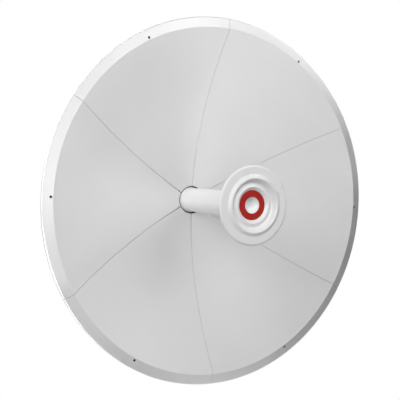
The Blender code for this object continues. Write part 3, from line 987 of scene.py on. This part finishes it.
def feed_cone(plastic):
    """The flared piece between the tube and the plate, with its snap ring and its foot."""
    tube_end_y = VERTEX_Y - TUBE_END_D
    front_y = VERTEX_Y - PLATE_D - PLATE_BACK + SEAT
    back_y = tube_end_y - SEAT
    snap_r, snap_start, snap_end = TUBE_R + 0.0003, back_y - 0.0015, back_y - 0.0040
    flare_start = 0.12
    flare = []
    for angle in evenly(flare_start, math.pi / 2, 20):
        radius = TUBE_R + (CONE_R - TUBE_R) * (1 - math.cos(angle))
        flare.append((radius, back_y + (front_y - back_y) * math.sin(angle)))
    points = [
        (0.0, tube_end_y + CONE_FOOT),
        (TUBE_BORE_R - SEAT, tube_end_y + CONE_FOOT),
        (TUBE_BORE_R - SEAT, back_y),
        (TUBE_R - 0.0006, back_y, 0.0003),
        (snap_r, snap_start, 0.0004),
        (snap_r, snap_end, 0.0004),
        *flare,
        (CONE_R, front_y),
        (0.0, front_y),
    ]
    dressed(lathe("feed_cone_flare", points, 96), plastic, "cone_plastic", "feed_cone")


def feed_tube(plastic):
    """The open tube through the hub. The edge of its bore is broken in front."""
    end_y = VERTEX_Y - TUBE_END_D
    points = [
        (TUBE_BORE_R, end_y + BREAK),
        (TUBE_BORE_R + BREAK, end_y),
        (TUBE_R, end_y, 0.0006),
        (TUBE_R, HUB_BACK_Y),
        (TUBE_BORE_R, HUB_BACK_Y),
        (TUBE_BORE_R, end_y + BREAK),
    ]
    dressed(lathe("feed_tube_body", points, 96), plastic, "feed_plastic", "feed_tube")


def collar_and_gasket(plastic, rubber):
    """The collar round the tube's foot, and the gasket that seals it against the hub."""
    front_y = bowl_back(HUB_HOLE_R, SKIN + SEAT)[1]
    back_y = front_y + GASKET
    bore_r = COLLAR_R + SEAT
    gasket = [
        (bore_r, front_y + BREAK),
        (bore_r + BREAK, front_y),
        (GASKET_R, front_y, 0.0004),
        (GASKET_R, back_y),
        (bore_r, back_y),
        (bore_r, front_y + BREAK),
    ]
    dressed(lathe("tube_gasket_ring", gasket, 96), rubber, "rubber", "tube_gasket")
    collar_y = bowl_y(COLLAR_R) + COLLAR_SINK
    bore_r = TUBE_R + COLLAR_FIT
    collar = [
        (bore_r, back_y),
        (bore_r, collar_y, 0.0003),
        (COLLAR_R, collar_y, 0.0006),
        (COLLAR_R, back_y),
        (bore_r, back_y),
    ]
    dressed(lathe("feed_collar_ring", collar, 96), plastic, "feed_plastic", "feed_collar")


# Transducer

def transducer_neck(cast):
    """A round neck with a flange at each end."""
    front_y = HUB_BACK_Y + SEAT
    back_y = front_y + NECK_LENGTH
    waist_r, flange, slope_end = NECK_R - 0.003, 0.0035, 0.0045
    points = [
        (0.0, front_y),
        (NECK_R, front_y, 0.0006),
        (NECK_R, front_y + flange, 0.0006),
        (waist_r, front_y + slope_end, 0.001),
        (waist_r, back_y - slope_end, 0.001),
        (NECK_R, back_y - flange, 0.0006),
        (NECK_R, back_y, 0.0006),
        (0.0, back_y),
    ]
    neck = lathe("transducer_neck_body", points, 72)
    dressed(neck, cast, "hub_cast", "transducer_neck")


def transducer_box(cast, steel):
    """The cast box with round long edges, a raised end each way and a recessed lid behind."""
    front_y = HUB_BACK_Y + 2 * SEAT + NECK_LENGTH
    back_y = front_y + BOX_DEPTH
    half = BOX_SIDE / 2
    box = block("transducer_box_body", (-half, front_y, -half), (half, back_y, half))
    mesh = box.data

    def runs_back(edge):
        start, end = (mesh.vertices[index].co for index in edge.vertices)
        return abs(start.y - end.y) > BOX_DEPTH / 2

    pick(box, "EDGE", runs_back)
    bpy.ops.mesh.bevel(offset=BOX_ROUND, segments=6, affect="EDGES")
    bpy.ops.object.mode_set(mode="OBJECT")
    end, slope_end, waist = 0.006, 0.011, 0.955
    for y in (front_y + end, front_y + slope_end, back_y - slope_end, back_y - end):
        pick_all(box)
        bpy.ops.mesh.bisect(plane_co=Y * y, plane_no=Y)

    def middle_side(face):
        middle = front_y + slope_end < face.center.y < back_y - slope_end
        return middle and abs(face.normal.y) < 0.1

    pick(box, "FACE", middle_side)
    bpy.ops.transform.resize(value=(waist, 1, waist), center_override=(0, 0, 0))
    lid_margin, lid_groove, lid_sink = 0.0035, 0.0006, 0.0010
    pick(box, "FACE", lambda face: face.normal.y > 0.9)
    bpy.ops.mesh.inset(thickness=lid_margin)
    bpy.ops.mesh.inset(thickness=lid_groove, depth=-lid_sink)
    bevelled(box, BOX_EDGE, degrees=30)
    dressed(box, cast, "hub_cast", "transducer_box")

    screw = bolt_head(
        "lid_screw", 0.0028, height=0.0018, washer_r=0.0032, washer=0.0004, shank_r=0.0012
    )
    away = half - 0.0075
    placed = []
    for x in (-away, away):
        for z in (-away, away):
            place = Matrix.Translation((x, back_y - lid_sink - SCREW_SINK, z))
            placed.append(copy(screw, "lid_screw", place))
    bpy.data.objects.remove(screw)
    dressed(joined(placed, "lid_screws"), steel, "bolt_steel")


def ports(brass, plastic):
    """A coaxial jack for each polarity, with its thread, sleeve, insulator and pin."""
    back_y = HUB_BACK_Y + 3 * SEAT + NECK_LENGTH + BOX_DEPTH
    flange_r, collar_r, groove_r = 0.0125, PORT_R + 0.0008, PORT_R - 0.0006
    flange_end, collar_end, thread_start, pitch = 0.003, 0.0045, 0.006, 0.0011
    bore_r, bore_end = PORT_R - 0.0015, PORT_LENGTH - 0.009
    pin_r, pin_end, bead_end = 0.0015, PORT_LENGTH - 0.002, bore_end + 0.0012
    outer = [
        (0.0, 0.0),
        (flange_r, 0.0, 0.0003),
        (flange_r, flange_end, 0.0006),
        (collar_r, flange_end),
        (collar_r, collar_end, 0.0003),
        (groove_r, thread_start - 0.0005),
        *threaded(PORT_R, thread_start, PORT_LENGTH - 0.001, pitch),
        (groove_r, PORT_LENGTH),
        (bore_r, PORT_LENGTH),
        (bore_r, bore_end),
        (0.0, bore_end),
    ]
    pin = [
        (0.0, bead_end),
        (pin_r, bead_end),
        (pin_r, pin_end - 0.001, 0.0004),
        (pin_r * 0.6, pin_end),
        (0.0, pin_end),
    ]
    bead = [
        (pin_r, bore_end),
        (bore_r, bore_end),
        (bore_r, bead_end, 0.0002),
        (pin_r, bead_end),
        (pin_r, bore_end),
    ]
    jack = joined([lathe("jack", outer, 48), lathe("pin", pin, 24)], "jack")
    insulator = lathe("insulator", bead, 32)
    for name, x in (("vertical", PORT_X), ("horizontal", -PORT_X)):
        place = Matrix.Translation((x, back_y, PORT_Z))
        shell = copy(jack, f"port_{name}_jack", place)
        dressed(shell, brass, "connector", f"port_{name}")
        dressed(copy(insulator, f"port_{name}_insulator", place), plastic, "feed_plastic")
    for made in (jack, insulator):
        bpy.data.objects.remove(made)


# Bracket

def folded_channel(name, half, web_y, open_y, half_height):
    """A U of sheet metal: its outline is traced from above and pushed up to its height."""
    way = 1 if open_y > web_y else -1
    right = []
    for angle in evenly(0, math.pi / 2, 6):
        x = half - BEND_R + BEND_R * math.sin(angle)
        y = web_y + way * (BEND_R - BEND_R * math.cos(angle))
        right.append((x, y, -half_height))
    right.append((half, open_y, -half_height))
    left = [(-x, y, z) for x, y, z in reversed(right)]
    piece = trace(name, left + right)
    bpy.ops.mesh.select_all(action="SELECT")
    push = {"value": Z * 2 * half_height}
    bpy.ops.mesh.extrude_edges_move(TRANSFORM_OT_translate=push)
    bpy.ops.mesh.select_all(action="SELECT")
    bpy.ops.mesh.normals_make_consistent(inside=False)
    bpy.ops.object.mode_set(mode="OBJECT")
    web = min(piece.data.polygons, key=lambda face: abs(face.center.y - web_y))
    if web.normal.y * way > 0:
        pick_all(piece)
        bpy.ops.mesh.flip_normals()
    return piece


def trimmed(piece, corner, towards):
    """Cuts the sheet along a plane through corner, and drops what lies beyond."""
    pick_all(piece)
    bpy.ops.mesh.bisect(plane_co=corner, plane_no=towards, clear_outer=True)
    bpy.ops.object.mode_set(mode="OBJECT")


def yoke(zinc):
    """The channel bolted to the hub, with its cheeks tapered towards the mast."""
    web_y = HUB_BACK_Y + SEAT
    end, corner = YOKE_END_HALF_HEIGHT, YOKE_END_CORNER
    piece = folded_channel("yoke_channel", YOKE_HALF, web_y, YOKE_END_Y, YOKE_HALF_HEIGHT)
    taper_run = YOKE_END_Y - corner - YOKE_TAPER_Y
    for way in (-1, 1):
        taper = Vector((0, YOKE_HALF_HEIGHT - end, way * taper_run))
        trimmed(piece, (0, YOKE_TAPER_Y, way * YOKE_HALF_HEIGHT), taper)
        trimmed(piece, (0, YOKE_END_Y, way * (end - corner)), (0, 1, way))
    thickened(piece, YOKE_SHEET)
    cut(piece, drill("neck_hole", NECK_R + SEAT, Y * web_y, Y * DRILL, 64))
    for z in (PIVOT_Z, LOCK_Z):
        cut(piece, drill("bolt_hole", BOLT_HOLE_R, Vector((0, PIVOT_Y, z)), X * CROSS_DRILL))
    bevelled(piece, YOKE_EDGE)
    dressed(piece, zinc, "galvanised", "yoke")


def slot_cutters():
    """Drills for the arc slot of the lock bolts, swung round the pivot."""
    swept = []
    radius = PIVOT_Z - LOCK_Z
    for angle in evenly(-TILT_LIMIT, TILT_LIMIT, 12):
        y = PIVOT_Y + radius * math.sin(angle)
        z = PIVOT_Z - radius * math.cos(angle)
        swept.append(drill("slot", BOLT_HOLE_R, Vector((0, y, z)), X * CROSS_DRILL))
    return swept


def sloped_block(name, places, heights, way, run):
    """A cutter between two places along Y and two heights, above (1) or below (-1) the axis.

    Its face towards the mast slopes back by run from the near height to the far one.
    """
    (start_y, end_y), (near, far) = places, heights
    cutter = block(name, (-CROSS_DRILL, start_y, way * near), (CROSS_DRILL, end_y, way * far))
    middle_y, middle_z = (start_y + end_y) / 2, (near + far) / 2

    def far_edge(vertex):
        return vertex.co.y > middle_y and abs(vertex.co.z) > middle_z

    pick(cutter, "VERT", far_edge)
    bpy.ops.transform.translate(value=(0, run, 0))
    return close_up(cutter)


def mast_bracket(zinc):
    """A channel with its open side narrowed to two cheeks, which have cut corners."""
    piece = folded_channel("mast_bracket_channel", MAST_HALF, 0.0, MAST_CHEEK_Y, MAST_HALF_HEIGHT)
    low, corner = MAST_CHEEK_HALF_HEIGHT, MAST_CORNER
    outside = MAST_HALF_HEIGHT + DRILL
    shoulder_run = corner * (outside - low) / (MAST_HALF_HEIGHT - low)
    thickened(piece, MAST_SHEET)
    for way in (-1, 1):
        start_y, end_y = MAST_CHEEK_Y - DRILL, MAST_SHOULDER_Y - corner
        cut(piece, sloped_block("shoulder", (start_y, end_y), (low, outside), way, shoulder_run))
        start_y, end_y = MAST_CHEEK_Y - corner, MAST_CHEEK_Y
        heights = (low - corner, low + corner)
        cut(piece, sloped_block("nose", (start_y, end_y), heights, way, 2 * corner))
    for x in (-U_HALF_WIDTH, U_HALF_WIDTH):
        for z in (-U_Z, U_Z):
            cut(piece, drill("u_hole", U_HOLE_R, Vector((x, 0, z)), Y * DRILL))
    cut(piece, drill("bolt_hole", BOLT_HOLE_R, Vector((0, PIVOT_Y, PIVOT_Z)), X * CROSS_DRILL))
    for cutter in slot_cutters():
        cut(piece, cutter)
    bevelled(piece, MAST_EDGE)
    dressed(piece, zinc, "galvanised", "mast_bracket")


def yoke_bolts(steel):
    """The heads of the four bolts that hold the yoke to the hub."""
    seat_y = HUB_BACK_Y + SEAT + YOKE_SHEET
    bolt = bolt_head("yoke_bolt", NUT_R, BOLT_HEAD, WASHER_R, WASHER, BOLT_R)
    places = [(x, z) for z in (YOKE_BOLT, -YOKE_BOLT) for x in (-YOKE_BOLT, YOKE_BOLT)]
    for number, (x, z) in enumerate(places, start=1):
        made = copy(bolt, f"yoke_bolt_{number}_head", Matrix.Translation((x, seat_y, z)))
        dressed(made, steel, "bolt_steel", f"yoke_bolt_{number}")
    bpy.data.objects.remove(bolt)


def cheek_bolts(steel):
    """The pivot and lock bolts: a head outside each cheek and a nut inside it."""
    outer, inner = MAST_HALF, YOKE_HALF - YOKE_SHEET
    head = bolt_head("head", NUT_R, BOLT_HEAD, WASHER_R, WASHER, BOLT_R)
    washer = washer_ring(BOLT_R, WASHER_R, -WASHER)
    nut_end = inner - WASHER - NUT
    parts = [
        moved(head, Matrix.Translation(Y * outer)),
        moved(washer, Matrix.Translation(Y * inner)),
        hex_prism("nut", NUT_R, nut_end, inner - WASHER, NUT_CHAMFER),
        shank("shank", BOLT_R, outer + WASHER, nut_end - BOLT_TIP, inner - WASHER),
    ]
    bolt = joined(parts, "cheek_bolt")
    for side, turn in (("left", math.radians(90)), ("right", math.radians(-90))):
        for name, z in (("pivot", PIVOT_Z), ("lock", LOCK_Z)):
            place = Matrix.Translation((0, PIVOT_Y, z)) @ Matrix.Rotation(turn, 4, "Z")
            made = copy(bolt, f"{name}_bolt_{side}_set", place)
            dressed(made, steel, "bolt_steel", f"{name}_bolt_{side}")
    bpy.data.objects.remove(bolt)


def u_bolts(steel):
    """Round bar bent round the mast, with threaded legs, washers and nuts."""
    deselect_all()
    bpy.ops.mesh.primitive_circle_add(
        vertices=24,
        radius=U_ROD_R,
        location=(U_HALF_WIDTH, MAST_R, 0),
        rotation=(math.radians(90), 0, 0),
    )
    bar = settled("bar")
    pick_all(bar)
    bpy.ops.mesh.spin(steps=32, angle=-math.pi, center=(0, MAST_R, 0), axis=(0, 0, 1))
    bpy.ops.object.mode_set(mode="OBJECT")
    pick(bar, "VERT", lambda vertex: vertex.co.y < MAST_R + HAIR)
    leg_y = 0.002
    push = {"value": (0, leg_y - MAST_R, 0)}
    bpy.ops.mesh.select_mode(type="EDGE")
    bpy.ops.mesh.extrude_edges_move(TRANSFORM_OT_translate=push)
    bpy.ops.mesh.select_all(action="SELECT")
    bpy.ops.mesh.fill_holes(sides=0)
    close_up(bar)
    nut_y = -MAST_SHEET - WASHER
    parts = [bar]
    for x in (-U_HALF_WIDTH, U_HALF_WIDTH):
        leg = shank("leg", U_ROD_R, leg_y + 0.001, U_LEG_END_Y, leg_y)
        parts.append(moved(leg, Matrix.Translation((x, 0, 0))))
        washer = washer_ring(U_ROD_R, WASHER_R, -WASHER)
        parts.append(moved(washer, Matrix.Translation((x, -MAST_SHEET, 0))))
        nut = hex_prism("nut", NUT_R, nut_y - NUT, nut_y, NUT_CHAMFER)
        parts.append(moved(nut, Matrix.Translation((x, 0, 0))))
    bolt = joined(parts, "u_bolt")
    for name, z in (("upper", U_Z), ("lower", -U_Z)):
        made = copy(bolt, f"u_bolt_{name}_bar", Matrix.Translation((0, 0, z)))
        dressed(made, steel, "bolt_steel", f"u_bolt_{name}")
    bpy.data.objects.remove(bolt)


# Studio

def studio():
    """A pale round floor that fades into a plain white backdrop all round."""
    deselect_all()
    bpy.ops.mesh.primitive_circle_add(
        vertices=96, radius=FLOOR_R, fill_type="NGON", location=(0, 0, FLOOR_Z)
    )
    floor = settled("floor")
    material, shader, place = new_material("pale_floor", Roughness=0.8)
    flat = place.node("ShaderNodeVectorMath", {0: place, 1: (1, 1, 0)}, operation="MULTIPLY")
    radius = flat.node("ShaderNodeVectorMath", {0: flat}, "Value", operation="LENGTH")
    fade = radius.between(FADE_IN_R, FADE_OUT_R)
    tone = noise(place, scale=6.0).mixed((0.80, 0.80, 0.80, 1), (0.84, 0.84, 0.84, 1))
    feed_shader(shader, Base_Color=tone, Alpha=1 - fade)
    floor.data.materials.append(material)
    floor.visible_shadow = False

    deselect_all()
    bpy.ops.mesh.primitive_uv_sphere_add(segments=48, ring_count=24, radius=BACKDROP_R)
    backdrop = settled("backdrop")
    material, shader, place = new_material("white_backdrop", Roughness=1.0)
    parts = place.node("ShaderNodeSeparateXYZ", {"Vector": place}, "Y")
    side = parts.between(-BACKDROP_R, 0)
    feed_shader(shader, Emission_Color=side.mixed((0.86, 0.86, 0.86, 1), (1, 1, 1, 1)))
    shader.inputs["Base Color"].default_value = (0, 0, 0, 1)
    shader.inputs["Specular IOR Level"].default_value = 0.0
    shader.inputs["Emission Strength"].default_value = 1.0
    backdrop.data.materials.append(material)
    backdrop.visible_diffuse = False
    backdrop.visible_glossy = False
    backdrop.visible_shadow = False


def light_set(name, pieces, state):
    """A set for a light's linking: it lights these pieces alone, or all but these."""
    made = bpy.data.collections.new(name)
    for piece in pieces:
        made.objects.link(bpy.data.objects[piece])
    for member in made.collection_objects:
        member.light_linking.link_state = state
    return made


def soft_light(name, turn, height, power, distance, linked):
    """A round soft light, turned right of the dish's axis and raised by these angles."""
    turn, height = math.radians(turn), math.radians(height)
    away = Matrix.Rotation(turn, 3, "Z") @ Matrix.Rotation(-height, 3, "X") @ -Y
    light = bpy.data.lights.new(name, "AREA")
    light.shape = "DISK"
    light.size = LIGHT_SIZE
    light.energy = power
    lamp = bpy.data.objects.new(name, light)
    bpy.context.scene.collection.objects.link(lamp)
    lamp.location = LIGHTS_AIM + away * distance
    lamp.rotation_euler = away.to_track_quat("Z", "Y").to_euler()
    lamp.visible_camera = False
    if linked:
        lamp.light_linking.receiver_collection = linked
    return lamp


def lights():
    """Soft lights for the feed, for the bowl and from behind, and reflectors.

    The strongest reflectors would bleach the steel behind, so only the petals see them.
    """
    feed = light_set("feed_only", FEED_PIECES, "INCLUDE")
    dish = light_set("all_but_feed", FEED_PIECES, "EXCLUDE")
    petals = light_set("petals_only", PETAL_PIECES, "INCLUDE")
    # Each group's name, lamps, distance, pieces, and whether it lights them and glosses on them
    groups = (
        ("feed", FEED_LIGHTS, FEED_LIGHTS_AWAY, feed, True, True),
        ("bowl", BOWL_LIGHTS, BOWL_LIGHTS_AWAY, dish, True, False),
        ("reflector", REFLECTORS, REFLECTORS_AWAY, dish, False, True),
        ("petal", PETAL_REFLECTORS, REFLECTORS_AWAY, petals, False, True),
        ("rear", REAR_LIGHTS, BOWL_LIGHTS_AWAY, None, True, True),
    )
    for group, lamps, distance, linked, diffuse, glossy in groups:
        for name, turn, height, power in lamps:
            lamp = soft_light(f"{group}_{name}", turn, height, power, distance, linked)
            lamp.visible_diffuse = diffuse
            lamp.visible_glossy = glossy
    world = bpy.data.worlds.new("studio_air")
    world.use_nodes = True
    air = world.node_tree.nodes["Background"]
    air.inputs["Color"].default_value = (1, 1, 1, 1)
    air.inputs["Strength"].default_value = AIR_LIGHT
    bpy.context.scene.world = world
    bpy.context.scene.view_settings.view_transform = "Standard"


def camera():
    """The camera where the photograph's stood."""
    lens = bpy.data.cameras.new("camera")
    lens.lens = CAMERA_LENS_MM
    lens.sensor_width = CAMERA_SENSOR_MM
    lens.clip_start = CAMERA_NEAR
    made = bpy.data.objects.new("camera", lens)
    bpy.context.scene.collection.objects.link(made)
    turn = Matrix.Rotation(-CAMERA_TURN, 4, "Z")
    tip = Matrix.Rotation(math.radians(90) - CAMERA_DOWN, 4, "X")
    roll = Matrix.Rotation(CAMERA_ROLL, 4, "Z")
    made.matrix_world = Matrix.Translation(CAMERA_AT) @ turn @ tip @ roll
    bpy.context.scene.camera = made


def antenna():
    """All finishes and pieces."""
    light_grey, casting_grey = (0.75, 0.75, 0.75), (0.60, 0.61, 0.62)
    coat = painted("powder_coat", light_grey, rough=0.45, patchy=0.012, pebble=0.12)
    band_coat = painted(
        "band_coat", light_grey, rough=0.45, patchy=0.012, pebble=0.06, Metallic=1.0
    )
    cast = painted("hub_cast", casting_grey, rough=0.5, patchy=0.03, pebble=0.35, Metallic=0.3)
    # The tube and its collar are the same plastic as the plate, painted lighter (0.96 against
    # 0.80): painted light on the tube.
    white = moulded("tube_white_painted_lighter", (0.96, 0.96, 0.96), rough=0.35, grain=0.05, Coat_Weight=0.6)
    plastic = moulded("plate_white", (0.80, 0.80, 0.80), rough=0.3, grain=0.05, Coat_Weight=0.4)
    cone = moulded("cone_plastic", (0.80, 0.79, 0.76), rough=0.45, grain=0.05)
    red = moulded("red_plastic", (0.39, 0.015, 0.012), rough=0.42, grain=0.08)
    rubber = moulded("rubber", (0.03, 0.03, 0.03), rough=0.75, grain=0.2)
    zinc = galvanised_steel()
    steel = zinc_bolt()
    brass = nickel_brass()
    reflector(coat, band_coat)
    rim_nuts(rubber)
    seam_bolts(steel)
    hub_casting(cast)
    hub_screws(steel)
    splash_plate(plastic)
    red_ring(red)
    feed_cone(cone)
    feed_tube(white)
    collar_and_gasket(white, rubber)
    transducer_neck(cast)
    transducer_box(cast, steel)
    ports(brass, plastic)
    yoke(zinc)
    mast_bracket(zinc)
    yoke_bolts(steel)
    cheek_bolts(steel)
    u_bolts(steel)


antenna()
studio()
lights()
camera()
